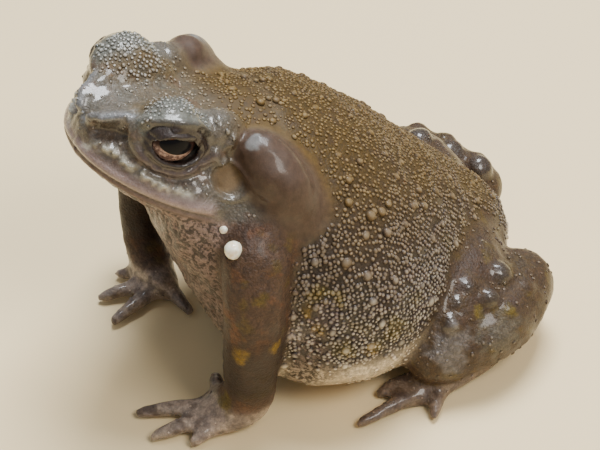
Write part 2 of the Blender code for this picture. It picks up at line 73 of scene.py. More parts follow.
def apply_modifiers(made):
    """The object with its modifiers made part of its mesh."""
    graph = bpy.context.evaluated_depsgraph_get()
    mesh = bpy.data.meshes.new_from_object(made.evaluated_get(graph))
    made.modifiers.clear()
    made.data = mesh
    return made


flesh = bmesh.new()
for node_name in FLESH:
    piece = bmesh.new()
    piece.from_mesh(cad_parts[node_name].data)
    bmesh.ops.remove_doubles(piece, verts=piece.verts, dist=0.01 * MM)
    for vert in piece.verts:
        vert.co += vert.normal * SKIN_GROWN
    flesh.from_mesh(mesh_of(piece, "grown"))

# Between the toes the hide is drawn into a thin web: each toe's root and tip on the floor, in millimetres.
TOES = (
    (((37.8, 20.7), (38.8, 13.7)), ((39.3, 17.7), (37.8, 7.7)), ((41.3, 15.7), (39.8, 3.7))),
    (((41.3, 15.7), (39.8, 3.7)), ((43.8, 16.7), (48.5, -5.3)), ((45.3, 19.7), (52.8, 14.7))),
    (((-37.7, 24.7), (-37.2, 17.7)), ((-39.2, 21.7), (-36.7, 11.7)), ((-41.2, 19.7), (-39.7, 6.7))),
    (((-41.2, 19.7), (-39.7, 6.7)), ((-43.7, 20.7), (-48.7, -1.3)), ((-45.3, 23.7), (-52.7, 18.7))),
)
WEB_LOW, WEB_HIGH, WEB_REACH, WEB_NOTCH = 0.5, 2.6, 0.62, 0.4
for row in TOES:
    for pair in zip(row, row[1:]):
        (root_a, tip_a), (root_b, tip_b) = [(Vector(root), Vector(tip)) for root, tip in pair]
        notch = (root_a.lerp(tip_a, WEB_NOTCH) + root_b.lerp(tip_b, WEB_NOTCH)) / 2
        for reach in (root_a.lerp(tip_a, WEB_REACH), root_b.lerp(tip_b, WEB_REACH)):
            wedge = bmesh.new()
            for at in (root_a, root_b, notch, reach):
                for height in (WEB_LOW, WEB_HIGH):
                    wedge.verts.new(Vector((*at, height)) * MM)
            bmesh.ops.convex_hull(wedge, input=wedge.verts)
            bmesh.ops.recalc_face_normals(wedge, faces=wedge.faces)
            flesh.from_mesh(mesh_of(wedge, "web"))
skin = only_mesh("skin", mesh_of(flesh, "skin"))
remesh = skin.modifiers.new("one_hide", "REMESH")
remesh.mode = "VOXEL"
remesh.voxel_size = SKIN_GRAIN
eased = skin.modifiers.new("eased", "SMOOTH")
eased.factor = 0.5
eased.iterations = SKIN_EASED
apply_modifiers(skin)


def places(mesh):
    """The mesh's corner places as rows, in metres."""
    flat = np.empty(len(mesh.vertices) * 3, np.float32)
    mesh.vertices.foreach_get("co", flat)
    return flat.reshape(-1, 3).astype(float)


def put(mesh, rows):
    mesh.vertices.foreach_set("co", rows.astype(np.float32).ravel())
    mesh.update()


def facings(mesh):
    flat = np.empty(len(mesh.vertices) * 3, np.float32)
    mesh.vertex_normals.foreach_get("vector", flat)
    return flat.reshape(-1, 3).astype(float)


def neighbours(mesh):
    """Both ends of each edge, and how many edges meet at each corner."""
    ends = np.empty(len(mesh.edges) * 2, np.int64)
    mesh.edges.foreach_get("vertices", ends)
    ends = ends.reshape(-1, 2)
    return ends, np.maximum(np.bincount(ends.ravel(), minlength=len(mesh.vertices)), 1)


def spread(mesh, values, rounds, share=0.5):
    """The values at the mesh's corners, eased towards their neighbours' mean so many times."""
    ends, count = neighbours(mesh)
    values = np.array(values, float)
    columns = values.reshape(len(values), -1)
    for _ in range(rounds):
        for k in range(columns.shape[1]):
            total = np.bincount(ends[:, 0], columns[ends[:, 1], k], len(columns))
            total += np.bincount(ends[:, 1], columns[ends[:, 0], k], len(columns))
            columns[:, k] += share * (total / count - columns[:, k])
    return columns.reshape(values.shape)


def step(value, low, high):
    """0 below low, 1 above high and smooth between, as an array."""
    t = np.clip((value - low) / (high - low), 0, 1)
    return t * t * (3 - 2 * t)


def bell(value, middle, width):
    """1 at the middle and falling softly to 0 on both sides of it, as an array."""
    return np.exp(-(((value - middle) / width) ** 2))


# The head's own frame: forward, to its left and up from the point midway between the eyes' balls.
HEAD_YAW, HEAD_PITCH, HEAD_ROLL = 9, 24, 2
EYE_AT = Vector((1.5, 15.6, 2.2))
head_turn = Matrix.Rotation(math.radians(HEAD_YAW), 3, "Z")
head_turn @= Matrix.Rotation(math.radians(-HEAD_PITCH), 3, "X")
head_turn @= Matrix.Rotation(math.radians(HEAD_ROLL), 3, "Y")
eye_middles = {side: sum(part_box("eye_" + side), Vector()) / 2 for side in ("left", "right")}
between = (eye_middles["left"] + eye_middles["right"]) / 2
head_at = between - head_turn @ Vector((0, -EYE_AT.x, EYE_AT.z)) * MM


def in_head(rows):
    """Places as forward, left and up in the head's frame, in millimetres."""
    local = (rows - np.array(head_at)) @ np.array(head_turn) / MM
    return np.stack([-local[:, 1], local[:, 0], local[:, 2]], axis=1)


# Where the hide is finer: the head before the neck, and the hands and feet.
FINE_HEAD, FINE_BELOW, FINE_BESIDE = -21, -26, 40
FINE_EASED = 3


def hands_and_feet(rows):
    """True on the places in the boxes of the hands and feet."""
    inside = np.zeros(len(rows), bool)
    for name in ("hand_left", "hand_right", "foot_left", "foot_right"):
        low, high = (np.array(corner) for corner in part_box(name))
        inside |= np.all((rows > low - MM) & (rows < high + MM), axis=1)
    return inside


# Only the largest closed surface is kept, so no scrap stays inside the hide.
work = bmesh.new()
work.from_mesh(skin.data)
work.verts.ensure_lookup_table()
unseen = set(work.verts)
islands = []
while unseen:
    island = [unseen.pop()]
    for vert in island:
        for edge in vert.link_edges:
            other = edge.other_vert(vert)
            if other in unseen:
                unseen.remove(other)
                island.append(other)
    islands.append(island)
islands.sort(key=len)
bmesh.ops.delete(work, geom=[v for island in islands[:-1] for v in island], context="VERTS")
work.verts.ensure_lookup_table()
rows = np.array([v.co for v in work.verts])
head_rows = in_head(rows)
ahead, left, up = head_rows.T
fine = (ahead > FINE_HEAD) & (up > FINE_BELOW) & (np.abs(left) < FINE_BESIDE)
fine |= hands_and_feet(rows)
chosen = [e for e in work.edges if fine[e.verts[0].index] and fine[e.verts[1].index]]
bmesh.ops.subdivide_edges(work, edges=chosen, cuts=1, use_grid_fill=True)
bmesh.ops.triangulate(work, faces=[f for f in work.faces if len(f.verts) > 4])
work.to_mesh(skin.data)
work.free()
rows = places(skin.data)
put(skin.data, spread(skin.data, rows, FINE_EASED))

# Unwrapped while it is still smooth, so that the patches stay few and broad.
UNWRAP_ANGLE, UNWRAP_MARGIN = 66, 0.002
skin.select_set(True)
bpy.context.view_layer.objects.active = skin
bpy.ops.object.mode_set(mode="EDIT")
bpy.ops.mesh.select_all(action="SELECT")
bpy.ops.uv.smart_project(angle_limit=math.radians(UNWRAP_ANGLE), island_margin=UNWRAP_MARGIN)
bpy.ops.object.mode_set(mode="OBJECT")
skin.data.uv_layers[0].name = "OFBake"

# Which part of the body each place of the hide belongs to, with soft edges between them.
REGION_EDGE_ROUNDS = 10
REGIONS = ("trunk", "head", "throat", "lid", "gland", "ear", "fore_leg", "hand", "hind_leg", "foot")
REGION_OF = {
    "torso": "trunk",
    "head": "head",
    "lower_jaw": "throat",
    "eyelids": "lid",
    "parotoid": "gland",
    "tympanum": "ear",
    "upper_arm": "fore_leg",
    "forearm": "fore_leg",
    "hand": "hand",
    "thigh": "hind_leg",
    "shank": "hind_leg",
    "foot": "foot",
}
corners, triangles, owner = [], [], []
for node_name in FLESH:
    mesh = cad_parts[node_name].data
    mesh.calc_loop_triangles()
    first = len(corners)
    corners += [v.co.copy() for v in mesh.vertices]
    triangles += [tuple(first + i for i in t.vertices) for t in mesh.loop_triangles]
    region = REGIONS.index(REGION_OF[node_name.removesuffix("_left").removesuffix("_right")])
    owner += [region] * len(mesh.loop_triangles)
packed = BVHTree.FromPolygons(corners, triangles)
rows = places(skin.data)
share = np.zeros((len(rows), len(REGIONS)))
for i, row in enumerate(rows):
    share[i, owner[packed.find_nearest(row)[2]]] = 1
share = spread(skin.data, share, REGION_EDGE_ROUNDS)
of_region = {name: share[:, k] for k, name in enumerate(REGIONS)}

# The gland runs softly into the neck and shoulder behind it.
GLAND_EDGE_ROUNDS, GLAND_EASED = 60, 70
broad_gland = spread(skin.data, of_region["gland"], GLAND_EDGE_ROUNDS)
by_gland = np.clip(5 * broad_gland * (1 - broad_gland), 0, 1)
by_gland *= (1 - of_region["ear"]) * (1 - of_region["lid"])
rows += by_gland[:, None] * (spread(skin.data, rows, GLAND_EASED) - rows)
put(skin.data, rows)


# Folds and creases of the hide, as moves along its own facing in millimetres.
def lumps(rows, size, seed, octaves=2):
    """Soft noise between about -1 and 1 with features of this size in millimetres."""
    shift = Vector((seed * 13.7, seed * 7.3, seed * 3.1))
    return np.array([noise.fractal(Vector(r) / (size * MM) + shift, 1.0, 2.0, octaves) for r in rows])


def along(points, line):
    """The distance of each place from a line of points, and how far along the line it is, from 0 to 1."""
    line = np.array(line, float)
    best = np.full(len(points), 1e9)
    at = np.zeros(len(points))
    for k in range(len(line) - 1):
        a, b = line[k], line[k + 1]
        t = np.clip((points - a) @ (b - a) / ((b - a) @ (b - a)), 0, 1)
        d = np.linalg.norm(points - (a + t[:, None] * (b - a)), axis=1)
        nearer = d < best
        best[nearer] = d[nearer]
        at[nearer] = (k + t[nearer]) / (len(line) - 1)
    return best, at


def ridge(points, line, height, width, fade_ends=0.15):
    """A rounded ridge (or a groove, below 0) along a line, lower towards its ends."""
    d, at = along(points, line)
    ends = step(at, -0.001, fade_ends) * step(1 - at, -0.001, fade_ends)
    return height * bell(d, 0, width) * ends


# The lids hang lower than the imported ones: the whole rim of each eye slides down and back over its ball.
EYE_FORWARD, EYE_UP = 12, -4
EYE_OPENING = (6.4, 4.4)
EYE_RADIUS, LID_DROP, UPPER_LID_DROP, LID_THICK = 6.9, 1.0, 2.1, 0.3
FRONT_RIM_BACK, REAR_RIM_BACK = 0.7, 1.5
SIDES = (("left", 1), ("right", -1))


def from_eye(across, high):
    """How far places are from the eye's middle, where 1 is the rim of its opening."""
    return np.hypot(across / EYE_OPENING[0], high / EYE_OPENING[1])


eye_frames = {}
rows = places(skin.data)
for word, turn in SIDES:
    gaze = Matrix.Rotation(math.radians(90 - EYE_FORWARD) * turn, 3, "Z")
    gaze @= Matrix.Rotation(math.radians(EYE_UP), 3, "X")
    eye_frames[word] = np.array(head_turn @ gaze)
    across, out, high = ((rows - np.array(eye_middles[word])) @ eye_frames[word] / MM).T
    ring = from_eye(across, high)
    rim = step(-out, 1, 3.5) * bell(ring, 1, 0.42)
    high = high - (LID_DROP + (UPPER_LID_DROP - LID_DROP) * step(high, -1, 2)) * rim
    rim_back = FRONT_RIM_BACK + (REAR_RIM_BACK - FRONT_RIM_BACK) * step(across * turn, -2, 3)
    across = across + turn * rim_back * rim
    far = np.sqrt(across**2 + out**2 + high**2)
    lift = np.maximum((EYE_RADIUS + LID_THICK) / far, 1)
    lift = 1 + (lift - 1) * step(-out, 0, 2) * step(1.6 - ring, 0, 0.2)
    moved = np.stack([across, out, high], axis=1) * lift[:, None]
    rows = np.array(eye_middles[word]) + moved @ eye_frames[word].T * MM
ahead, left, up = in_head(rows).T

# The far lid is rounder and stands higher than the near one.
FAR_LID_ROUNDS, FAR_LID_SWOLLEN = 45, 1.0 * MM
right_lid = step(-left, 4, 8) * step(up, 1, 4) * step(ahead, -12, -8)
rows += right_lid[:, None] * (spread(skin.data, rows, FAR_LID_ROUNDS) - rows)
put(skin.data, rows)
rows += FAR_LID_SWOLLEN * right_lid[:, None] * facings(skin.data)
put(skin.data, rows)

facing = facings(skin.data)
head_rows = in_head(rows)
ahead, left, up = head_rows.T
mirror = np.stack([ahead, np.abs(left), up], axis=1)
move = np.zeros(len(rows))

# The mouth: a thin line from the snout back under the eyes, with a swollen upper lip over it.
MOUTH_BACK, MOUTH_FRONT, MOUTH_CORNER = (-30, -15.8), (30, -11.6), -12
slope = (MOUTH_FRONT[1] - MOUTH_BACK[1]) / (MOUTH_FRONT[0] - MOUTH_BACK[0])
over_mouth = (up - MOUTH_BACK[1] - (ahead - MOUTH_BACK[0]) * slope) * math.cos(math.atan(slope))
mouthed = step(ahead, MOUTH_CORNER - 1, MOUTH_CORNER + 2) * step(np.abs(left), -1, 1)
move -= 0.6 * bell(over_mouth, 0, 0.4) * mouthed
move += 0.45 * bell(over_mouth, 1.6, 1.3) * mouthed
move += 0.2 * bell(over_mouth, -1.0, 0.7) * mouthed

# Lids: a rim round each eye, a stiff brow over it, and uneven folds under it that sweep back to the ear.
eye_rows = {}
uneven = 1 + 1.1 * lumps(rows, 4.5, 17)
for word, turn in SIDES:
    local = (rows - np.array(eye_middles[word])) @ eye_frames[word] / MM
    local += np.array([-turn * (FRONT_RIM_BACK + REAR_RIM_BACK) / 2, 0, LID_DROP])
    eye_rows[word] = local
    across, out, high = local.T
    near_eye = step(-out, 1.5, 4)
    ring = from_eye(across, high)
    below = step(-high, -0.5, 1.5) * uneven
    above = step(high, 0, 2) * uneven
    move += 0.45 * bell(ring, 1.12, 0.13) * near_eye
    move -= 0.7 * bell(ring, 1.45, 0.13) * near_eye * below
    move += 0.45 * bell(ring, 1.72, 0.16) * near_eye * below
    move -= 0.45 * bell(ring, 2.05, 0.13) * near_eye * below
    move -= 0.5 * bell(ring, 1.4, 0.14) * near_eye * above
BROW = (
    (10.2, 12.3, 3.8),
    (8, 17.4, 7),
    (4.5, 20, 8.6),
    (0.5, 20.8, 8.9),
    (-3.5, 20.4, 7.9),
    (-7.5, 19.2, 5.4),
)
UNDER_BROW = ((9.4, 16.8, 3.4), (5, 20.4, 5), (0.5, 21.4, 5.6), (-3.5, 21, 4.8), (-7.6, 19.8, 2.2))
move += ridge(mirror, BROW, 1.1, 1.2) * step(left, -1, 1)
move -= ridge(mirror, UNDER_BROW, 0.9, 1.1) * step(left, -1, 1)
move += ridge(mirror, ((-9, 15.5, 5.5), (-14, 16.5, 6), (-19, 17, 5)), 1.6, 4.0)
move += ridge(mirror, ((-8.5, 20.5, 2), (-11.5, 22.6, -1.5), (-13.6, 22.5, 0.2)), 0.7, 1.1)
move -= ridge(mirror, ((-6, 21, -3.5), (-10, 23.6, -4.4), (-12.4, 25.4, -8.6)), 0.5, 0.8)
move += ridge(mirror, ((-12.8, 19.6, 3.8), (-15.4, 20.8, 3.0)), 2.0, 1.9, 0.02)

# Snout: sharp canthal ridges, a hollow before each eye, slit nostrils and small folds over the lip.
CANTHUS = (
    (16.8, 1.0, -4.0),
    (16.4, 3.4, -1.8),
    (15.3, 5.8, -0.3),
    (13.4, 7.4, 1.2),
    (11.2, 9.0, 2.4),
    (9.4, 10.8, 3.2),
)
HOLLOW = ((16.4, 3.7, -5.0), (14.6, 7.4, -3.2), (12.4, 10.6, -1.9), (10.8, 12.9, -0.8))
CHEEK = (
    (16.6, 4.8, -9.5),
    (14.9, 8.4, -6.9),
    (12.2, 12, -6.3),
    (9.5, 15.7, -7.4),
    (5.8, 19.4, -8.5),
    (2.1, 22.3, -9.4),
    (-4.7, 24.8, -9.5),
)
move += ridge(mirror, CANTHUS, 1.5, 1.1)
move -= ridge(mirror, HOLLOW, 1.7, 1.9)
pearly = np.clip(0.45 + 1.5 * lumps(rows, 1.3, 12, 1), 0, 1)
move += ridge(mirror, CHEEK, 1.0, 1.15) * (0.3 + 0.9 * pearly)
move -= ridge(mirror, [(f + 0.2, l - 0.6, u + 2.6) for f, l, u in CHEEK[2:]], 0.5, 1.0)
move -= ridge(mirror, ((16.6, 4.4, -2.3), (15.6, 5.6, -1.9)), 1.7, 0.62, 0.02)
move += ridge(mirror, ((17.3, 4.6, -3.2), (16, 6.4, -3.4)), 0.45, 0.8)
LIP_FOLDS, LIP_FOLD_APART = 5, 1.7
for k in range(LIP_FOLDS):
    back, out = LIP_FOLD_APART * k, 0.9 * LIP_FOLD_APART * k
    fold = ((13.5 - back, 13 + out, -4.5), (11.5 - back, 16 + out, -8.5))
    move -= ridge(mirror, fold, 0.32, 0.6)
face = step(ahead, -16, -8) * step(up, -13, -8)
move += face * (0.16 * lumps(rows, 2.2, 3) + 0.35 * lumps(rows, 6, 4))

# Ear: a thin disc in a low rim.
for word in ("left", "right"):
    ear_at = in_head(np.array([sum(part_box("tympanum_" + word), Vector()) / 2]))[0]
    d = np.hypot(ahead - ear_at[0], up - ear_at[2]) + 100 * (np.sign(left) != np.sign(ear_at[1]))
    move += 0.5 * bell(d, 4.3, 0.55) - 0.45 * step(3.9 - d, 0, 0.8)

# Throat and chest hang in soft wrinkles; the flank folds behind the arm; the back and belly are uneven.
throat = of_region["throat"]
x, y, z = (rows / MM).T
BROAD_FACING = 14
chest = of_region["trunk"] * step(-spread(skin.data, facing[:, 1], BROAD_FACING), 0.25, 0.65)
chest *= step(-y, 2, 12) * step(64 - z, 0, 10)
wrinkle = 1 - 2 * np.abs(lumps(rows * [1, 1, 0.45], 3.4, 5))
move += (0.42 * throat * step(-over_mouth, 1.5, 4) + 0.5 * chest) * wrinkle
trunk = of_region["trunk"]
move += trunk * (0.6 * lumps(rows, 14, 6) + 0.3 * lumps(rows, 5, 7))
behind_arm = trunk * bell(y, -12, 8) * step(np.abs(x), 26, 34) * step(z, 8, 20)
move += behind_arm * 0.7 * (1 - 2 * np.abs(lumps(rows * [1, 1, 0.25], 3.2, 8)))
limbs = of_region["fore_leg"] + of_region["hind_leg"] + of_region["hand"] * 0.4 + of_region["foot"] * 0.4
move += limbs * (0.35 * lumps(rows, 6, 9) + 0.16 * lumps(rows, 2.4, 10))
move += of_region["gland"] * 0.3 * lumps(rows, 5, 11)

# Large smooth glands on each folded leg: a place in millimetres, a radius and how high it stands.
LEG_GLANDS = (
    ((33.9, 41.6, 29.6), 3.9, 1.9),
    ((40.4, 35.8, 28), 3.2, 1.7),
    ((43.6, 22.7, 26), 2.9, 1.5),
    ((40.3, 26.1, 29.4), 1.9, 0.9),
    ((37.5, 30.5, 31), 2.0, 0.8),
    ((-21.7, 40.7, 35.6), 4.4, 2.2),
    ((-25.1, 53, 23.7), 4.2, 2.0),
    ((-17.1, 58.6, 22.1), 4.4, 2.0),
    ((-43, 31, 23), 3.0, 1.6),
)
on_gland = np.zeros(len(rows))
for place, radius, height in LEG_GLANDS:
    near = np.exp(-((np.linalg.norm(rows / MM - place, axis=1) / (0.8 * radius)) ** 4))
    move += height * near
    on_gland = np.maximum(on_gland, near)
rows += facing * move[:, None] * MM
rows[:, 2] = np.maximum(rows[:, 2], 0)
put(skin.data, rows)
skin.data.shade_smooth()


# Colours of the hide, laid on from the broad ones down to the small blotches.
PAINT = {
    "trunk": (0.104, 0.058, 0.010),
    "head": (0.118, 0.098, 0.074),
    "throat": (0.270, 0.185, 0.155),
    "lid": (0.120, 0.118, 0.098),
    "gland": (0.068, 0.040, 0.026),
    "ear": (0.150, 0.098, 0.048),
    "fore_leg": (0.082, 0.045, 0.027),
    "hand": (0.420, 0.320, 0.250),
    "hind_leg": (0.068, 0.038, 0.016),
    "foot": (0.205, 0.140, 0.096),
}
DARK, UMBER, RUST = (0.026, 0.016, 0.013), (0.060, 0.032, 0.020), (0.150, 0.058, 0.022)
OLIVE_YELLOW, OCHRE, PALE = (0.125, 0.085, 0.010), (0.235, 0.135, 0.010), (0.800, 0.660, 0.480)
MAUVE, STONE = (0.100, 0.066, 0.066), (0.100, 0.092, 0.072)
DABS = (
    ((44, -30, 53), 2.2, OLIVE_YELLOW),
    ((44, -37, 34), 2.6, OCHRE),
    ((45, -27, 37), 2.0, OCHRE),
    ((39, -38, 47), 3.0, RUST),
    ((43, -37, 41), 2.6, RUST),
    ((36, -39, 12), 3.4, OLIVE_YELLOW),
    # Painted highlight: the pale grey dab on the front top of each gland.
    ((23, -24, 88), 3.0, (0.17, 0.165, 0.16)),
    ((42, -17, 43), 2.2, OCHRE),
    ((44, -15, 37), 1.9, OCHRE),
    ((42, -14, 47), 3.2, OLIVE_YELLOW),
    ((45, -9, 46), 2.6, OLIVE_YELLOW),
    ((47, -9, 30), 3.2, OLIVE_YELLOW),
    ((48, -1, 29), 3.0, OCHRE),
    ((47, 5, 33), 4.2, OLIVE_YELLOW),
    ((42, -19, 35), 4.0, (0.30, 0.24, 0.20)),
    ((44, -12, 43), 3.6, MAUVE),
    ((46, 3, 43), 4.5, UMBER),
    ((47, 22, 20), 6.5, (0.165, 0.145, 0.135)),
    ((47, 36, 20), 7.0, (0.120, 0.100, 0.070)),
    ((44.4, 40.6, 25.5), 2.4, OLIVE_YELLOW),
    ((42.6, 31.4, 26.2), 2.0, OLIVE_YELLOW),
    ((30, 49, 27), 5.0, (0.070, 0.042, 0.014)),
    ((47, 0, 30), 3.0, OLIVE_YELLOW),
)
rows = places(skin.data)
facing = spread(skin.data, facings(skin.data), BROAD_FACING)
tilt = facing[:, 2]
x, y, z = (rows / MM).T
patches, spots = lumps(rows, 8, 21), lumps(rows, 3, 22)
neck = of_region["head"] * step(-ahead, 9, 20) * step(up, -3, 2)
on_back = np.maximum(trunk * step(tilt, 0.25, 0.85), neck * step(tilt, 0, 0.4))
on_flank = np.clip(trunk - on_back, 0, 1)
on_belly = trunk * np.maximum(step(27 - z, 0, 8), step(-tilt, 0.1, 0.5))
on_head = of_region["head"] + of_region["lid"] - neck


def paint(colour, over, amount):
    """The colours with another laid over them as far as amount is near 1."""
    return colour + np.clip(amount, 0, 1)[:, None] * (np.array(over) - colour)


hide = sum(of_region[name][:, None] * np.array(PAINT[name]) for name in REGIONS)
hide = paint(hide, PAINT["trunk"], neck)
# The flank's hide, seen between its grains, made darker: partly its own colour, partly painted shade in the
# gaps.
hide = paint(hide, (0.066, 0.048, 0.040), on_flank * 0.85)
hide = paint(hide, MAUVE, on_flank * 0.5 * step(spots, 0.1, 0.4) * step(58 - z, 0, 20))
hide = paint(hide, OLIVE_YELLOW, on_flank * 0.35 * step(lumps(rows, 6, 23), 0.2, 0.45) * step(50 - z, 0, 10))
hide = paint(hide, UMBER, (on_back + 0.5 * on_flank) * 0.4 * step(spots, 0.15, 0.5))
hide = paint(hide, PALE, on_belly * (0.95 + 0.3 * patches))
hide = paint(hide, PAINT["throat"], chest * (1 - 0.5 * step(34 - z, 0, 20)))
hide = paint(hide, UMBER, chest * (0.3 + 0.4 * spots))
crown = on_head * step(mirror[:, 2], 2, 6) * step(13 - mirror[:, 1], 0, 4)
hide = paint(hide, (0.110, 0.072, 0.028), crown * 0.9)
hide = paint(hide, RUST, on_head * 0.28 * step(lumps(rows, 4, 24), 0.2, 0.45) * step(8 - up, 0, 4))
hide = paint(hide, STONE, on_head * 0.45 * step(lumps(rows, 2.4, 25), 0.05, 0.35))
hide = paint(hide, (0.330, 0.235, 0.215), mouthed * bell(over_mouth, 1.8, 1.8) * 0.85)
cheek_far, _ = along(mirror, CHEEK)
# Painted shade in the groove beside each cheek ridge.
shade_beside_cheek = on_head * bell(cheek_far, 2.4, 1.0) * step(over_mouth, 1, 3)
hide = paint(hide, (0.060, 0.034, 0.028), shade_beside_cheek * 0.45)
on_cheek = on_head * bell(cheek_far, 0, 1.15) * (0.12 + 0.88 * pearly)
hide = paint(hide, (0.480, 0.450, 0.370), on_cheek)
by_canthus, _ = along(mirror, CANTHUS)
# Painted highlight: a pale bluish grey along each canthal ridge.
hide = paint(hide, (0.230, 0.240, 0.260), on_head * bell(by_canthus, 0, 1.0) * 0.75)
in_hollow, _ = along(mirror, HOLLOW)
# Painted shade: darker in the hollow under each canthal ridge.
hide = paint(hide, (0.075, 0.045, 0.024), on_head * bell(in_hollow, 0, 1.8) * 0.7)
jaw_edge = mouthed * bell(over_mouth, -1.1, 0.8)
hide = paint(hide, (0.120, 0.070, 0.052), jaw_edge * 0.8)
lip_edge = mouthed * bell(over_mouth, 0.5, 0.35) * step(ahead, 4, 12)
hide = paint(hide, (0.420, 0.290, 0.230), lip_edge * 0.8)
hide = paint(hide, DARK, mouthed * bell(over_mouth, 0, 0.35) * 0.6)
for word in ("left", "right"):
    across, out, high = eye_rows[word].T
    ring = from_eye(across, high)
    shadow = 0.97 * step(1.45 - ring, 0, 0.14) + 0.6 * step(1.85 - ring, 0, 0.3)
    hide = paint(hide, DARK, step(-out, 1.5, 4) * shadow)
    under_eye = step(-out, 1, 3) * bell(ring, 1.7, 0.25) * step(-high, 0, 1)
    hide = paint(hide, MAUVE, 0.6 * under_eye)
legs = of_region["fore_leg"] + of_region["hind_leg"]
hide = paint(hide, UMBER, legs * 0.6 * step(lumps(rows, 7, 27), 0.05, 0.4))
hide = paint(hide, OLIVE_YELLOW, legs * 0.4 * step(lumps(rows, 5, 28), 0.3, 0.5))
hide = paint(hide, RUST, of_region["fore_leg"] * 0.45 * step(lumps(rows, 5, 29), 0.22, 0.45))
hide = paint(hide, (0.040, 0.030, 0.022), on_gland * 0.75)
lower_arm = of_region["fore_leg"] * step(47 - z, 0, 16) * step(z, 12, 20)
hide = paint(hide, (0.022, 0.011, 0.006), lower_arm * 0.85)
toes = of_region["hand"] + of_region["foot"]
hide = paint(hide, (0.330, 0.255, 0.190), of_region["hand"] * step(-y, 47, 57) * 0.8)
hide = paint(hide, (0.140, 0.105, 0.095), toes * 0.55 * step(lumps(rows, 5, 30), -0.1, 0.3))
hide = paint(hide, UMBER, toes * 0.6 * step(lumps(rows, 3, 31), 0.1, 0.4))
for place, size, dab in DABS:
    for _, side in SIDES:
        d = np.linalg.norm(rows / MM - np.array(place) * (side, 1, 1), axis=1) / size
        hide = paint(hide, dab, 0.85 * step(1.1 + 0.7 * spots - d, 0, 0.5))

pale_tips = on_flank * (0.28 + 0.5 * step(54 - z, 0, 26)) + 0.3 * on_back
pale_tips += 0.35 * on_head + 0.2 * of_region["hind_leg"]
# The grains' tips: the hide brightened as a painted lit copy, then paler colours of their own laid over it.
tips = paint(hide * 1.6, (0.520, 0.480, 0.400), pale_tips)
tips = paint(tips, (0.170, 0.110, 0.036), on_back * 0.75)
# Painted highlight: pale grey glints on the tips of the lids' grains.
tips = paint(tips, (0.560, 0.560, 0.560), of_region["lid"] * 0.5)
tips = paint(tips, (0.880, 0.760, 0.600), on_belly * 0.9)

bare = np.clip(of_region["gland"] + of_region["ear"] + mouthed * step(5.5 - np.abs(over_mouth), 0, 2), 0, 1)
for across, out, high in (local.T for local in eye_rows.values()):
    ring = from_eye(across, high)
    bare += step(-out, 1.5, 4) * step(2.15 - ring, 0, 0.2)
bare = np.clip(bare + 0.8 * step(broad_gland, 0.1, 0.4) + on_gland, 0, 1)
off_floor = step(z, 1.5, 3)
lid_top = of_region["lid"] * step(up, 4.5, 7)
low_belly = trunk * step(27 - z, 0, 7)
open_hide = off_floor * (1 - bare) ** 2
grained = np.clip(on_flank + 0.7 * on_back - chest, 0, 1)
size = 0.66 * on_back + 0.86 * on_flank + 0.46 * on_head + 0.5 * legs + 0.4 * toes - 0.14 * on_belly
wet = 0.95 * on_head - 0.4 * crown + 0.35 * of_region["gland"] + on_gland + 0.4 * throat
wet += 0.45 * of_region["hind_leg"] + 0.2 * of_region["fore_leg"] + 0.7 * toes
wet += 0.14 * on_back + 0.45 * on_flank
low_throat = throat * step(-over_mouth, 0.8, 1.8) + chest
fine = lid_top + 0.35 * crown + 0.1 * of_region["head"] + 0.08 * of_region["hind_leg"] + 0.06 * toes
sheet = {
    "coarse_grain": open_hide * grained * (1 - 0.88 * low_belly),
    "fine_grain": open_hide * np.clip(fine, 0, 1),
    "wart": open_hide * np.clip(0.8 * on_back + 0.6 * on_flank - chest, 0, 1) * (1 - low_belly),
    "grain_size": MM * (size + 0.12 * right_lid * lid_top),
    "wet": wet,
    "mottle": low_throat + 0.4 * legs + 0.35 * on_flank + 0.3 * toes,
    "crinkle": low_throat + 0.55 * legs + 0.45 * toes + 0.4 * on_head,
    # Painted shade in the gaps between the grains.
    "pit": 0.5 * grained * (1 - bare) * (1 - 0.9 * on_belly),
    "pebble": (0.5 * trunk + 0.5 * on_head + 0.4 * legs + 0.35 * toes + 0.6 * throat) * (1 - 0.85 * bare),
}
for name, values in sheet.items():
    values = np.clip(values, 0, 1).astype(np.float32)
    skin.data.attributes.new(name, "FLOAT", "POINT").data.foreach_set("value", values)
for name, colours in (("hide", hide), ("tips", tips)):
    flat = np.concatenate([np.clip(colours, 0, 1), np.ones((len(colours), 1))], axis=1).astype(np.float32)
    skin.data.attributes.new(name, "FLOAT_COLOR", "POINT").data.foreach_set("color", flat.ravel())


class Flow:
    """A node's output: a number that can be written into sums."""

    def __init__(self, socket):
        self.socket = socket

    def math(self, operation, *terms):
        return draw(self.socket.id_data, "ShaderNodeMath", {"operation": operation}, terms)

    def __add__(self, other):
        return self.math("ADD", self, other)

    def __mul__(self, other):
        return self.math("MULTIPLY", self, other)

    def __sub__(self, other):
        return self.math("SUBTRACT", self, other)

    def __rsub__(self, other):
        return self.math("SUBTRACT", other, self)

    def __truediv__(self, other):
        return self.math("DIVIDE", self, other)

    def __pow__(self, other):
        return self.math("POWER", self, other)

    __radd__ = __add__
    __rmul__ = __mul__


def socket_of(sockets, key):
    """A node's socket by its place among those in use, or by its name."""
    in_use = [s for s in sockets if s.enabled]
    return in_use[key] if isinstance(key, int) else next(s for s in in_use if s.name == key)


def draw(tree, kind, settings=None, values=(), output=0):
    """A new node: its settings first, then its inputs by place or name, as values or links."""
    node = tree.nodes.new(kind)
    for name, value in (settings or {}).items():
        setattr(node, name, value)
    for key, value in values.items() if isinstance(values, dict) else enumerate(values):
        if isinstance(value, Flow):
            tree.links.new(value.socket, socket_of(node.inputs, key))
        else:
            socket_of(node.inputs, key).default_value = value
    return Flow(socket_of(node.outputs, output)) if node.outputs else node


